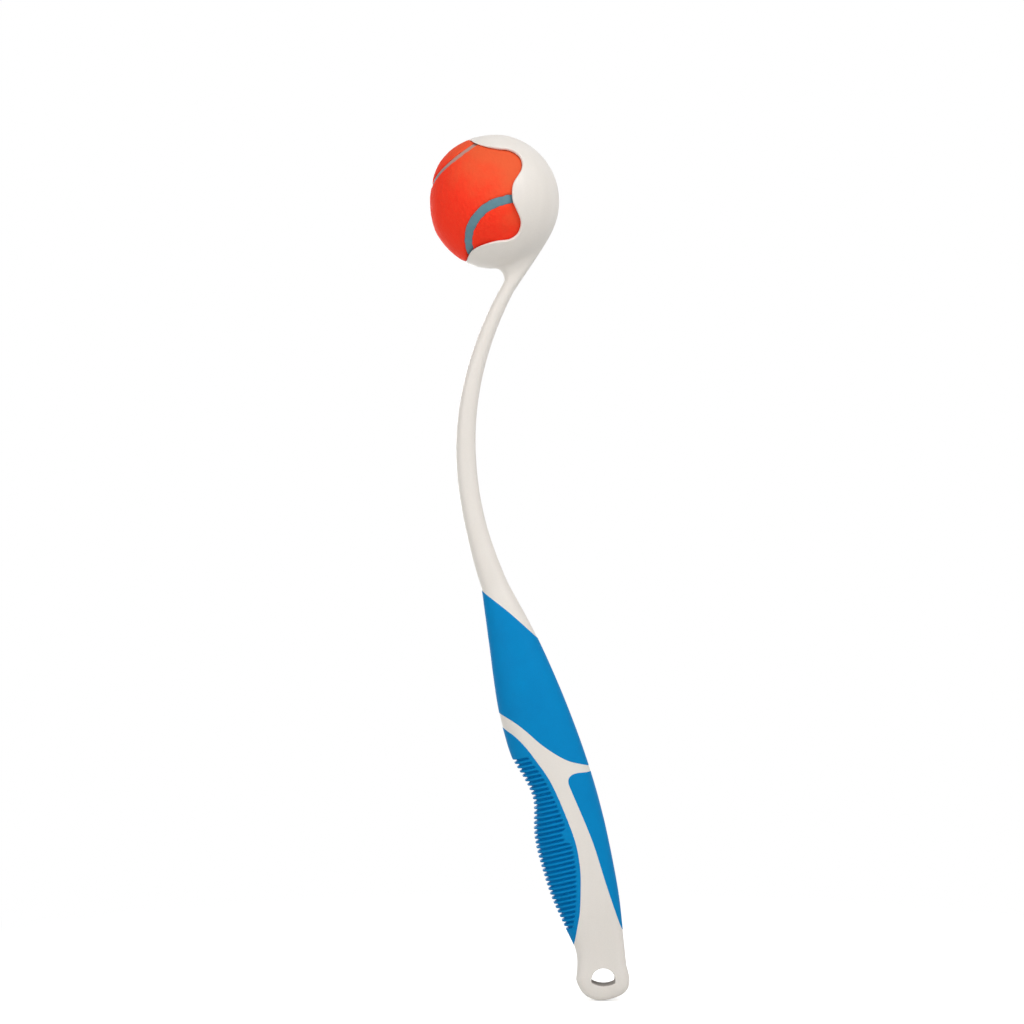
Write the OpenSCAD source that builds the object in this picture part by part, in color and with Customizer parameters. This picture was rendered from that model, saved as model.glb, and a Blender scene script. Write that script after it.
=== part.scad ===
// Ball launcher stick: a springy cup on a bowed shaft, a soft handle and a felt ball.
// The plane of symmetry is XZ, the cup opens towards -X and the origin is the middle of the hand grip.

/* [Ball] */
// Diameter of the ball over its felt
ball_d = 66; // [50:0.5:80]
// Thickness of the felt cover
felt_t = 3; // [2:0.1:4]
// Wall of the hollow rubber core
core_wall = 3.5; // [2.5:0.1:5]
// Width of the rubber seam between the two felt panels
seam_w = 4; // [2.5:0.1:6]
// How far the seam lies below the felt
seam_drop = 0.5; // [0.2:0.1:1]

/* [Cup] */
// Clearance between the ball and the cup
ball_gap = 0.3; // [0.2:0.05:0.6]
// Wall of the cup
cup_wall = 1.8; // [1.4:0.1:3]
// How far the two lips reach past the middle of the ball
lip_reach = 13; // [10:0.5:15]
// Angle above the cup's axis of the line where the upper lip flexes
flex_angle = 50; // [46:1:58]

/* [Shaft] */
// Height from the top of the handle to the start of the neck
shaft_rise = 155.4; // [120:0.5:200]
// Sideways shift of the neck from the top of the handle
shaft_shift = 6.4; // [0:0.1:15]
// How far the shaft bows away from the straight line
shaft_bow = 18.6; // [10:0.2:25]
// Width of the shaft at its middle
shaft_w = 9.8; // [8:0.1:13]
// Thickness of the shaft at its middle
shaft_t = 11; // [9:0.1:14]
// Width of the neck below the cup
neck_w = 7; // [6:0.1:9]
// Thickness of the neck below the cup
neck_t = 10; // [8:0.1:13]
// Lean of the neck towards the cup's back
neck_lean = 33; // [28:0.5:38]
// Length of the straight neck, up to where it runs along the cup
neck_run = 34.5; // [30:0.5:42]
// Radius of the fillet between the neck and the cup
neck_fillet = 5; // [3:0.1:6]

/* [Handle] */
// Lean of the handle from upright
handle_lean = 16; // [8:0.5:22]
// Length from the grip's middle up to the shaft
handle_top = 135; // [110:1:165]
// Length from the grip's middle down to the hanging end
handle_tail = 75; // [62:1:92]
// Length of the rounded hanging end
tail_round = 15.3; // [12:0.1:17]
// How far the tip of the hanging end leans to the palm side
tail_drift = 2.4; // [0:0.1:3]
// Largest width of the handle
handle_w = 37.5; // [31:0.5:45]
// Largest thickness of the handle
handle_t = 24; // [20:0.5:30]
// Width of the hanging hole
hole_w = 12.4; // [9:0.2:14]
// Height of the hanging hole's straight sides
hole_side = 1.5; // [0:0.1:3]
// Sag of the hanging hole's lower edge
hole_sag = 1.7; // [1:0.1:4]
// How far the hanging hole lies below the middle of the rounded end
hole_set = 3.5; // [1:0.1:4.5]

/* [Grips] */
// Depth of the soft rubber grips
grip_t = 2.2; // [1.6:0.1:2.8]
// Distance from rib to rib on the finger grip
rib_pitch = 2.5; // [2:0.05:4]
// Width of the grooves between the ribs
groove_w = 1; // [0.7:0.05:1.5]
// Depth of the grooves between the ribs
groove_t = 1.5; // [0.8:0.1:1.5]
// Plain margin between the grooves and the edge of the finger grip
rib_margin = 4; // [2.5:0.1:5]
// Diameter of the keys that lock the grips through the handle
key_d = 4; // [3:0.1:5]

/* [Hidden] */
$fn = 64;
// Points round each cross-section, and steps between two points of a drawn curve
ring_n = 24;
curve_n = 4;
// Points along the ball's seam
seam_n = 72;
white = [0.90, 0.88, 0.85];
blue = [0.00, 0.52, 0.78];
felt_red = [0.95, 0.27, 0.16];
seam_grey = [0.43, 0.57, 0.61];
core_black = [0.16, 0.16, 0.17];
// Glue line between the felt and the core
glue_gap = 0.1;
ball_r = ball_d / 2;
core_r = ball_r - felt_t - glue_gap;
cup_in_r = ball_r + ball_gap;
cup_r = cup_in_r + cup_wall;
// Turn of the seam in the cup, and the seam curve's two harmonics, which add up to 1
seam_turn = [33.5, -76.6, 28.7];
seam_a = 0.76;
seam_b = 1 - seam_a;

// A table holds [place, value] pairs in rising order; smooth_at reads a smooth curve through them
function span(table, x, i = 0) = i >= len(table) - 2 || x < table[i + 1][0] ? i : span(table, x, i + 1);
function slope(table, i) =
  let (a = table[max(i - 1, 0)], b = table[min(i + 1, len(table) - 1)]) (b[1] - a[1]) / (b[0] - a[0]);
function smooth_at(table, x) =
  let (i = span(table, x), h = table[i + 1][0] - table[i][0], s = (x - table[i][0]) / h)
  table[i][1] * (2 * s ^ 3 - 3 * s ^ 2 + 1) + slope(table, i) * h * (s ^ 3 - 2 * s ^ 2 + s)
  + table[i + 1][1] * (3 * s ^ 2 - 2 * s ^ 3) + slope(table, i + 1) * h * (s ^ 3 - s ^ 2);
// A smooth curve through a list of points in the plane
function between(a, b, c, d, s) =
  b + 0.5 * s * (c - a) + s ^ 2 * (a - 2.5 * b + 2 * c - 0.5 * d) + 0.5 * s ^ 3 * (3 * b - a - 3 * c + d);
function curve(p) = [
  for (i = [0 : len(p) - 2], k = [0 : curve_n - 1])
    between(p[max(i - 1, 0)], p[i], p[i + 1], p[min(i + 2, len(p) - 1)], k / curve_n),
  p[len(p) - 1]
];

// Handle outline: places run from -1 at the hanging end, past 0 at the grip's middle, to 1 at the shaft,
// and edges are shares of the handle's width
left_edge = [
  [-1, -0.486], [-0.9, -0.41], [-0.8, -0.376], [-0.6, -0.44], [-0.4, -0.497], [-0.16, -0.513],
  [0.015, -0.496], [0.09, -0.43], [0.15, -0.368], [0.2, -0.372], [0.26, -0.418], [0.333, -0.488],
  [0.43, -0.501], [0.555, -0.48], [0.78, -0.365], [1, -0.248]
];
right_edge = [
  [-1, 0.258], [-0.8, 0.323], [-0.53, 0.411], [-0.27, 0.464], [0, 0.503], [0.15, 0.514], [0.333, 0.491],
  [0.555, 0.418], [0.78, 0.298], [1, 0.123]
];
half_depth = [
  [-1, 0.29], [-0.8, 0.31], [-0.5, 0.4], [-0.1, 0.475], [0.25, 0.5], [0.55, 0.48], [0.8, 0.38], [1, 0.27]
];
// Roundness of the cross-section: 2 is an ellipse, more is boxier
squareness = [[-1, 4], [-0.75, 3], [-0.4, 2.4], [1, 2.2]];
function handle_u(place) = place * (place > 0 ? handle_top : handle_tail);
function on_handle(p) = [p[1] * handle_w, handle_u(p[0])];
function oval(left, right, half, power) = [
  for (k = [0 : ring_n - 1])
    let (c = cos(360 * k / ring_n), s = sin(360 * k / ring_n))
    [
      (left + right) / 2 + (right - left) / 2 * sign(c) * abs(c) ^ (2 / power),
      half * sign(s) * abs(s) ^ (2 / power)
    ]
];
function handle_ring(place, inset) = [
  for (p = oval(
      smooth_at(left_edge, place) * handle_w + inset, smooth_at(right_edge, place) * handle_w - inset,
      smooth_at(half_depth, place) * handle_t - inset, smooth_at(squareness, place)
    ))
    [p[0], p[1], handle_u(place)]
];
// Rings that round off the hanging end: the width closes like a rounded box and the depth more slowly
tail_power = 2.2;
tail_depth = 0.4;
tail_rings = [
  for (k = [7 : -1 : 1])
    let (s = sin(88 * k / 7), w = (1 - s ^ tail_power) ^ (1 / tail_power), base = handle_ring(-1, 0))
    let (mid = (base[0][0] + base[ring_n / 2][0]) / 2)
    [
      for (p = base)
        [mid + (p[0] - mid) * w + tail_drift * s ^ 2, p[1] * w ^ tail_depth, -handle_tail - tail_round * s]
    ]
];
handle_places = [for (k = [-16 : 20]) k / (k < 0 ? 16 : 20)];
handle_skin = concat(tail_rings, [for (p = handle_places) handle_ring(p, 0)]);
// The same outline set in, from just past the grips' lowest tips to past the top
function set_in(depth) = [
  for (p = handle_places) if (p > -0.95) handle_ring(p, depth),
  [for (p = handle_ring(1, depth)) p + [0, 0, depth]]
];

// Outlines of the three grips, as [place, share of the width] on the handle
sleeve_top = [[1.05, -0.36], [0.988, -0.23], [0.884, 0.04], [0.763, 0.309], [0.69, 0.46], [0.6, 0.62]];
sleeve_low = [
  [0.19, 0.7], [0.231, 0.5], [0.27, 0.267], [0.311, 0.107], [0.365, -0.053], [0.422, -0.187],
  [0.467, -0.307], [0.517, -0.48], [0.57, -0.7]
];
finger_edge = [
  [0.52, -0.66], [0.458, -0.48], [0.417, -0.36], [0.366, -0.258], [0.303, -0.168], [0.234, -0.08],
  [0.16, -0.027], [0.074, 0.011], [-0.02, 0.037], [-0.13, 0.033], [-0.253, 0], [-0.36, -0.053],
  [-0.53, -0.16], [-0.62, -0.24], [-0.755, -0.375], [-0.87, -0.52]
];
palm_edge = [
  [0.2, 0.66], [0.207, 0.49], [0.217, 0.35], [0.217, 0.267], [0.208, 0.213], [0.192, 0.187], [0.167, 0.192],
  [0.033, 0.253], [-0.13, 0.289], [-0.37, 0.3], [-0.63, 0.318], [-0.767, 0.331], [-0.86, 0.38]
];
// Keys of each grip, as [place, share of the width]
sleeve_keys = [[0.8, -0.05], [0.65, -0.05], [0.52, 0.1]];
finger_keys = [[0.3, -0.33], [0.05, -0.2], [-0.2, -0.22], [-0.45, -0.3]];
palm_keys = [[0.12, 0.37], [-0.1, 0.4]];
far_v = handle_w;
module sleeve_area() polygon(concat(
  curve([for (p = sleeve_top) on_handle(p)]), curve([for (p = sleeve_low) on_handle(p)])
));
module finger_area() polygon(concat(
  curve([for (p = finger_edge) on_handle(p)]),
  [[-far_v, on_handle(finger_edge[len(finger_edge) - 1])[1]], [-far_v, on_handle(finger_edge[0])[1]]]
));
module palm_area() polygon(concat(
  curve([for (p = palm_edge) on_handle(p)]),
  [[far_v, on_handle(palm_edge[len(palm_edge) - 1])[1]], [far_v, on_handle(palm_edge[0])[1]]]
));
// Grooves between the ribs, from the first place to the last
rib_span = [-0.627, 0.326];
module groove_area() intersection() {
  offset(delta = -rib_margin) finger_area();
  for (u = [handle_u(rib_span[0]) : rib_pitch : handle_u(rib_span[1])])
    translate([-far_v, u - groove_w / 2]) square([2 * far_v, groove_w]);
}
module through_handle() rotate([90, 0, 0]) linear_extrude(2 * handle_t, center = true) children();
module handle_frame() rotate([0, -handle_lean, 0]) children();
// A smooth solid through a row of rings
drum_faces = concat(
  [[for (k = [0 : ring_n - 1]) k], [for (k = [ring_n - 1 : -1 : 0]) ring_n + k]],
  [for (k = [0 : ring_n - 1]) let (n = (k + 1) % ring_n) [n, k, ring_n + k, ring_n + n]]
);
module skin(rings)
  for (i = [0 : len(rings) - 2]) hull() polyhedron(concat(rings[i], rings[i + 1]), drum_faces);
module key_bores(places)
  for (p = places) translate([p[1] * handle_w, 0, handle_u(p[0])])
    rotate([90, 0, 0]) cylinder(d = key_d, h = 2 * handle_t, center = true, $fn = 16);
// The keys end just inside their grip, below its ribs
key_lap = 0.3;
module keys(places) intersection() {
  key_bores(places);
  skin(set_in(grip_t - key_lap));
}

// Shaft: a bowed line from the top of the handle to the neck, then the straight neck along the cup
function to_row(p) = [
  p[0] * cos(handle_lean) - p[2] * sin(handle_lean), p[1], p[0] * sin(handle_lean) + p[2] * cos(handle_lean)
];
root_ring = [for (p = handle_ring(1, 0)) to_row(p)];
root_mid = (root_ring[0] + root_ring[ring_n / 2]) / 2;
root_w = norm(root_ring[0] - root_ring[ring_n / 2]);
root_t = 2 * smooth_at(half_depth, 1) * handle_t;
bow_skew = 0.15;
function bow_line(f) = [
  root_mid[0] + shaft_shift * f - shaft_bow * 4 * f * (1 - f) * (1 + bow_skew * (f - 0.5)),
  root_mid[2] + shaft_rise * f
];
function bow_dir(f) = let (d = bow_line(f + 0.01) - bow_line(f - 0.01)) d / norm(d);
width_along = [
  [0, root_w], [0.2, shaft_w * 1.1], [0.45, shaft_w], [0.7, (shaft_w + neck_w) / 2], [1, neck_w]
];
depth_along = [[0, root_t], [0.25, shaft_t], [0.55, shaft_t], [1, neck_t]];
shaft_power = 2.3;
// A ring across a line in the plane: mid point, direction, edges to both sides and half depth
function cross_ring(mid, dir, left, right, half) = [
  for (p = oval(left, right, half, shaft_power)) [mid[0] + dir[1] * p[0], p[1], mid[1] - dir[0] * p[0]]
];
shaft_steps = 22;
bow_rings = [
  for (k = [1 : shaft_steps])
    let (f = k / shaft_steps, w = smooth_at(width_along, f) / 2)
    cross_ring(bow_line(f), bow_dir(f), -w, w, smooth_at(depth_along, f) / 2)
];
neck_start = bow_line(1);
neck_dir = [sin(neck_lean), cos(neck_lean)];
neck_side = [cos(neck_lean), -sin(neck_lean)];
// The neck's back edge runs along the cup's outside
cup_mid = neck_start + neck_run * neck_dir - (cup_r - neck_w / 2) * neck_side;
// Where the fillet between neck and cup has its middle, along the neck
fillet_at = neck_run - sqrt((cup_r + neck_fillet) ^ 2 - (cup_r - neck_w - neck_fillet) ^ 2);
function flare(s) = let (d = s - fillet_at)
  d <= 0 ? 0 : d >= neck_fillet ? neck_fillet : neck_fillet - sqrt(neck_fillet ^ 2 - d ^ 2);
// Past the fillet the neck's front edge lies inside the cup, and the ridge on the cup fades out
inside_cup = neck_w / 2 + 2 * neck_fillet;
neck_rings = [
  for (s = [
      fillet_at * 0.5, fillet_at, each [for (k = [2 : 6]) fillet_at + neck_fillet * sin(15 * k)],
      each [for (k = [1 : 6]) fillet_at + neck_fillet + 0.1 + (neck_run - fillet_at - neck_fillet) * k / 6]
    ])
    let (past = max(0, s - fillet_at - neck_fillet) / neck_run)
    cross_ring(
      neck_start + s * neck_dir, neck_dir, past > 0 ? -inside_cup : -neck_w / 2 - flare(s), neck_w / 2,
      neck_t / 2 + flare(s) * (1 - past)
    )
];

// Cup: the rim's outline as seen from the side, as shares of the cup's radius from its middle
rim_rise = 0.028;
tip = lip_reach / cup_r;
rim_half = [
  [0.305, 0], [0.319, 0.128], [0.376, 0.256], [0.43, 0.379], [0.433, 0.484], [0.376, 0.59], [0.256, 0.661],
  [0.066, 0.687], [-0.3 * tip, 0.724], [-0.65 * tip, 0.769], [-0.87 * tip, 0.826], [-1.05 * tip, 0.94],
  [-1.2 * tip, 1.08]
];
rim_line = concat(
  [for (i = [len(rim_half) - 1 : -1 : 1]) [rim_half[i][0], -rim_half[i][1]]], rim_half
);
module in_cup() translate([cup_mid[0], 0, cup_mid[1]]) children();
module ball_of(r) rotate([90, 0, 0]) sphere(r);
// A ball turned so that none of its own edges runs along the seam
module felt_ball(r) rotate([0, 0, 60]) sphere(r);
module mouth() rotate([90, 0, 0]) linear_extrude(3 * cup_r, center = true)
  polygon(concat(
    [for (p = curve(rim_line)) [p[0], p[1] + rim_rise] * cup_r],
    [[-2 * cup_r, 2 * cup_r], [-2 * cup_r, -2 * cup_r]]
  ));
module above_flex_line() rotate([0, -flex_angle, 0])
  translate([-2 * cup_r, -2 * cup_r, 0]) cube([4 * cup_r, 4 * cup_r, 2 * cup_r]);
module whole_cup() difference() {
  ball_of(cup_r);
  ball_of(cup_in_r);
  mouth();
}

// Ball seam: a closed curve on the unit sphere, and its copies moved half the seam's width to either side
function unit(v) = v / norm(v);
function seam_at(t) = [
  seam_a * cos(t) + seam_b * cos(3 * t), seam_a * sin(t) - seam_b * sin(3 * t),
  2 * sqrt(seam_a * seam_b) * sin(2 * t)
];
function seam_along(t) = [
  -seam_a * sin(t) - 3 * seam_b * sin(3 * t), seam_a * cos(t) - 3 * seam_b * cos(3 * t),
  4 * sqrt(seam_a * seam_b) * cos(2 * t)
];
function seam_across(t) = unit(cross(seam_at(t), seam_along(t)));
function seam_edge(t, side) = unit(seam_at(t) + side * seam_w / 2 / ball_r * seam_across(t));
// A pyramid from the ball's middle out past the felt, over the panel on the upper (1) or lower (-1) side
module panel_wedge(side) {
  reach = 6 * ball_r;
  points = concat(
    [[0, 0, 0], [0, 0, side * reach]], [for (k = [0 : seam_n - 1]) reach * seam_edge(360 * k / seam_n, side)]
  );
  faces = [
    for (k = [0 : seam_n - 1], end = [0, 1])
      let (a = 2 + k, b = 2 + (k + 1) % seam_n)
      (end == 0) == (side > 0) ? [end, a, b] : [end, b, a]
  ];
  polyhedron(points, faces);
}
module felt_panel(side) color(felt_red) in_cup() rotate(seam_turn) intersection() {
  difference() {
    felt_ball(ball_r);
    felt_ball(core_r + glue_gap);
  }
  panel_wedge(side);
}
// Half of the hollow core, in front of (-1) or behind (1) the middle of the ball
module core_half(side) color(core_black) in_cup() difference() {
  sphere(core_r);
  sphere(core_r - core_wall);
  translate([side > 0 ? -2 * ball_r : 0, -ball_r, -ball_r]) cube(2 * ball_r);
}

module throwing_cup() color(white) in_cup() difference() {
  whole_cup();
  above_flex_line();
}
module cup_upper_lip() color(white) in_cup() intersection() {
  whole_cup();
  above_flex_line();
}
module shaft() color(white) difference() {
  skin(concat([root_ring], bow_rings, neck_rings));
  in_cup() ball_of(cup_r / cos(180 / $fn));
}
module handle_core() color(white) handle_frame() difference() {
  skin(handle_skin);
  difference() {
    through_handle() union() {
      sleeve_area();
      finger_area();
      palm_area();
    }
    skin(set_in(grip_t));
  }
  key_bores(concat(sleeve_keys, finger_keys, palm_keys));
  hanging_hole();
}
module grip_sleeve() color(blue) handle_frame() {
  grip_shell() sleeve_area();
  keys(sleeve_keys);
}
module finger_grip() color(blue) handle_frame() {
  difference() {
    grip_shell() finger_area();
    difference() {
      through_handle() groove_area();
      skin(set_in(groove_t));
    }
  }
  keys(finger_keys);
}
module palm_grip() color(blue) handle_frame() {
  grip_shell() palm_area();
  keys(palm_keys);
}
module grip_shell() difference() {
  intersection() {
    skin(handle_skin);
    through_handle() children();
  }
  skin(set_in(grip_t));
}
// A round arch on short straight sides, over a gently curved lower edge
hole_turn = -18;
module hanging_hole() {
  mid = (smooth_at(left_edge, -1) + smooth_at(right_edge, -1)) / 2 * handle_w;
  low_r = ((hole_w / 2) ^ 2 + hole_sag ^ 2) / (2 * hole_sag);
  low_turn = asin(hole_w / 2 / low_r);
  low_mid = [0, low_r - hole_sag - hole_side];
  through_handle() translate([mid, -handle_tail - hole_set]) rotate(hole_turn) polygon(concat(
    [for (k = [0 : 20]) hole_w / 2 * [cos(9 * k), sin(9 * k)]],
    [for (k = [-6 : 6]) low_mid + low_r * [sin(low_turn * k / 6), -cos(low_turn * k / 6)]]
  ));
}
module ball_core_front() core_half(-1);
module ball_core_rear() core_half(1);
module ball_felt_upper() felt_panel(1);
module ball_felt_lower() felt_panel(-1);
module ball_seam() color(seam_grey) in_cup() rotate(seam_turn) difference() {
  felt_ball(ball_r - seam_drop);
  felt_ball(core_r + glue_gap);
  panel_wedge(1);
  panel_wedge(-1);
}

throwing_cup();
cup_upper_lip();
shaft();
handle_core();
grip_sleeve();
finger_grip();
palm_grip();
ball_core_front();
ball_core_rear();
ball_felt_upper();
ball_felt_lower();
ball_seam();
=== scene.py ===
# %% [markdown]
# # A dog ball launcher stick
# The real one is a bowed plastic stick. A springy cup at its upper end snaps over a felt ball, and its leaning
# handle has three pads of soft rubber. The CAD model already gives every size and every joint, so this lesson loads
# it first and then models the parts that the eye sees, each in its CAD place.

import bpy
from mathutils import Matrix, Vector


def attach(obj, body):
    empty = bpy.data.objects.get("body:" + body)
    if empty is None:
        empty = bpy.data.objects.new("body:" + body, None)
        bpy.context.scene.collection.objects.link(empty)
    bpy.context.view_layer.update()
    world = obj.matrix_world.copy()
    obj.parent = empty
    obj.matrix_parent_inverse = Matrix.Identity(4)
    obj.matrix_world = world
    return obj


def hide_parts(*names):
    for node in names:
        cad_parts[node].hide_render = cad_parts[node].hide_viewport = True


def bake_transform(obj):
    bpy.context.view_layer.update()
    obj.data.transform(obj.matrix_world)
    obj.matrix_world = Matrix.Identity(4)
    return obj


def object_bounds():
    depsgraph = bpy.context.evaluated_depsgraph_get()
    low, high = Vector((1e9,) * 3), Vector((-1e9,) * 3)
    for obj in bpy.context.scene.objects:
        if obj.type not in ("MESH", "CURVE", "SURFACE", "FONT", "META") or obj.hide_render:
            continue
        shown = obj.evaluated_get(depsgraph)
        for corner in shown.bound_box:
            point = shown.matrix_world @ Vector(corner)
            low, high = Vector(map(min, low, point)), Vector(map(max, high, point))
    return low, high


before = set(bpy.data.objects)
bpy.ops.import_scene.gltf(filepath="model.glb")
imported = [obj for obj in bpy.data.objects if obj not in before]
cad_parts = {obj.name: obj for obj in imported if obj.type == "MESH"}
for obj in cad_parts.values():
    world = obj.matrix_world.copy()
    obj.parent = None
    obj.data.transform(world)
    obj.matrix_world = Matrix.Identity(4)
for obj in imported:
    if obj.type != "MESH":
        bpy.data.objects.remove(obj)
cad_box = [list(corner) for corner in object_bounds()]
print("CAD nodes:", sorted(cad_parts))
print("CAD box in metres:", cad_box)

# %% [markdown]
# ## The photograph's view
# The photograph looks straight at the side of the stick, level, from far enough away that nothing bulges. A long
# lens at 1.56 m gives the same picture: 537 mm of the object's own plane fill the frame from edge to edge.

# %% Camera
import math
import bpy

MM = 0.001
far, across_frame, sensor = 1560, 537, 36
frame_mid_x, frame_mid_z = -30.4, 167.8
eye = (frame_mid_x * MM, -far * MM, frame_mid_z * MM)
bpy.ops.object.camera_add(location=eye, rotation=(math.radians(90), 0, 0))
camera = bpy.context.object
camera.data.sensor_width = sensor
camera.data.lens = sensor * far / across_frame
bpy.context.scene.camera = camera
print("lens in mm:", round(camera.data.lens, 1))

# %% [markdown]
# ## Colours and nodes
# A colour picker shows sRGB values and a shader works in linear light, so one function turns a hex code into what
# a socket needs. A second one feeds a node's sockets with values and links, and a third adds a node that is fed
# that way and returns its output. Sockets that share a name are numbered: a Map Range goes from 1 and 2 to 3 and 4,
# and a colour Mix has its factor at 0, its two colours at 6 and 7 and its result at 2.

# %% Helpers for materials
def linear(code):
    """A hex colour as the linear colour of a shader socket."""
    parts = [int(code[i : i + 2], 16) / 255 for i in (1, 3, 5)]
    return [c / 12.92 if c <= 0.04045 else ((c + 0.055) / 1.055) ** 2.4 for c in parts] + [1.0]


def feed(tree, node, inputs):
    """Give each named or numbered socket a value, or a link from the output that feeds it."""
    for socket, value in inputs.items():
        if isinstance(value, bpy.types.NodeSocket):
            tree.links.new(value, node.inputs[socket])
        else:
            node.inputs[socket].default_value = value


def add_node(tree, kind, inputs=None, out=0, **settings):
    """Add a node with its settings, feed its inputs and return the output that is asked for."""
    node = tree.nodes.new("ShaderNode" + kind)
    for name, value in settings.items():
        setattr(node, name, value)
    feed(tree, node, inputs or {})
    return node.outputs[out] if node.outputs else node


COLOUR = {"out": 2, "data_type": "RGBA"}  # the settings of a Mix that blends two colours
print("mid grey, linear:", linear("#808080"))

# %% [markdown]
# ## Floor, world and lamps
# The photograph has a plain white ground. A floor that were only a lamp would lose the stick's shadow, so near the
# stick the floor is matt, with a little glow for the camera and reflections, and further out it fades to white.
# What it throws back onto the stick is dimmer close by, so that the handle's end isn't lit from below.
# The world lights the stick most from the camera's side and least from behind, as a room with a dark end does, and
# shows white to the camera and in reflections.

# %% Floor
WHITE = (1, 1, 1, 1)


def seen_rays(tree):
    """1 for the rays of the camera, of reflections and of glass, 0 for those that only carry light."""
    ray = add_node(tree, "LightPath").node.outputs
    first_two = add_node(tree, "Math", {0: ray["Is Camera Ray"], 1: ray["Is Glossy Ray"]}, operation="ADD")
    all_three = {0: first_two, 1: ray["Is Transmission Ray"]}
    return add_node(tree, "Math", all_three, operation="ADD", use_clamp=True)


bpy.ops.mesh.primitive_plane_add(size=30, location=(0, 0, cad_box[0][2] - 0.2 * MM))
floor = bpy.context.object
floor.name = "floor"
ground = bpy.data.materials.new("matt_white_paper")
ground.use_nodes = True
tree = ground.node_tree
tree.nodes.clear()
seen = seen_rays(tree)
place = add_node(tree, "TexCoord", out="Object")
reach = add_node(tree, "VectorMath", {0: place}, out="Value", operation="LENGTH")
# The matt part ends between 0.1 and 0.45 m from the stick
fade = add_node(tree, "MapRange", {0: reach, 1: 0.1, 2: 0.45}, interpolation_type="SMOOTHSTEP")
paper = add_node(tree, "BsdfDiffuse", {"Color": linear("#F2F2F0")})
glow = add_node(tree, "Emission", {"Color": WHITE, "Strength": 0.58})
near = add_node(tree, "AddShader", {0: paper, 1: glow})
white = add_node(tree, "Emission", {"Color": WHITE, "Strength": 1.0})
shown = add_node(tree, "MixShader", {0: fade, 1: near, 2: white})
card = add_node(tree, "Mix", {0: fade, 6: linear("#DADAD8"), 7: linear("#F2F2F0")}, **COLOUR)
bounce = add_node(tree, "BsdfDiffuse", {"Color": card})
final = add_node(tree, "MixShader", {0: seen, 1: bounce, 2: shown})
add_node(tree, "OutputMaterial", {"Surface": final})
floor.data.materials.append(ground)
print("floor at z in mm:", round(floor.location.z / MM, 2))

# %% World
front_light, back_light = 0.62, 0.27
world = bpy.data.worlds.new("studio")
bpy.context.scene.world = world
world.use_nodes = True
tree = world.node_tree
tree.nodes.clear()
seen = seen_rays(tree)
place = add_node(tree, "TexCoord", out="Generated")
depth = add_node(tree, "SeparateXYZ", {0: place}, out="Y")
room = add_node(tree, "MapRange", {0: depth, 1: -0.8, 2: 0.6, 3: front_light, 4: back_light})
level = add_node(tree, "MapRange", {0: seen, 3: room, 4: 1.0})
sky = add_node(tree, "Background", {"Color": WHITE, "Strength": level})
add_node(tree, "OutputWorld", {"Surface": sky})
bpy.context.scene.view_settings.view_transform = "Standard"
print("world:", len(tree.nodes), "nodes")

# %% Lamps
from mathutils import Vector

middle = Vector((-30, 0, 140)) * MM
for name, offset, size, power in [
    ("key_lamp", (640, -780, 1040), 0.7, 8.7),
    ("fill_lamp", (-820, -1040, 420), 1.2, 4.9),
    ("back_lamp", (-420, 1300, 140), 0.7, 6.5),
]:
    place = middle + Vector(offset) * MM
    bpy.ops.object.light_add(type="AREA", location=place)
    lamp = bpy.context.object
    lamp.name = name
    lamp.data.size, lamp.data.energy = size, power
    lamp.rotation_euler = (middle - place).to_track_quat("-Z", "Y").to_euler()
    print(name, "at", [round(c, 2) for c in place], "m,", power, "W")

# %% [markdown]
# ## The stick's outline
# Cup, shaft and handle core are one off-white moulding. Its outline was read from the photograph as a table of
# edges along the handle and a bowed line for the shaft. A modeller could trace it by eye with a few big loops; a
# table keeps the real sizes, so that the rubber pads can later find the very same surface.

# %% Tables of the handle, in shares of its width and thickness
import numpy as np

handle_w, handle_t, handle_top, handle_tail, lean = 37.5, 24.0, 135.0, 75.0, math.radians(16)
left_edge = [
    (-1, -0.486), (-0.9, -0.41), (-0.8, -0.376), (-0.6, -0.44), (-0.4, -0.497), (-0.16, -0.513),
    (0.015, -0.496), (0.09, -0.43), (0.15, -0.368), (0.2, -0.372), (0.26, -0.418), (0.333, -0.488),
    (0.43, -0.501), (0.555, -0.48), (0.78, -0.365), (1, -0.248),
]
right_edge = [
    (-1, 0.246), (-0.8, 0.316), (-0.53, 0.409), (-0.27, 0.464), (0, 0.503), (0.15, 0.514), (0.333, 0.491),
    (0.555, 0.418), (0.78, 0.298), (1, 0.123),
]
half_depth = [
    (-1, 0.29), (-0.8, 0.31), (-0.5, 0.4), (-0.1, 0.475), (0.25, 0.5), (0.55, 0.48), (0.8, 0.38), (1, 0.27),
]
squareness = [(-1, 4), (-0.75, 3), (-0.4, 2.4), (1, 2.2)]


def hermite(s, first, leave, last, arrive):
    """A smooth blend from first to last, with the slopes at which it leaves and arrives."""
    return (
        first * (2 * s**3 - 3 * s**2 + 1) + leave * (s**3 - 2 * s**2 + s)
        + last * (3 * s**2 - 2 * s**3) + arrive * (s**3 - s**2)
    )


def smooth_at(table, x):
    """A smooth curve through pairs of (place, value), with slopes taken from the neighbours."""
    px, py = np.array(table, float).T
    slope = np.gradient(py, px)
    slope[1:-1] = (py[2:] - py[:-2]) / (px[2:] - px[:-2])
    i = np.clip(np.searchsorted(px, x, side="right") - 1, 0, len(px) - 2)
    h = px[i + 1] - px[i]
    return hermite((x - px[i]) / h, py[i], slope[i] * h, py[i + 1], slope[i + 1] * h)


grip_w = (smooth_at(right_edge, 0.0) - smooth_at(left_edge, 0.0)) * handle_w
print("handle's width at the grip, mm:", round(grip_w, 1))

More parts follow.
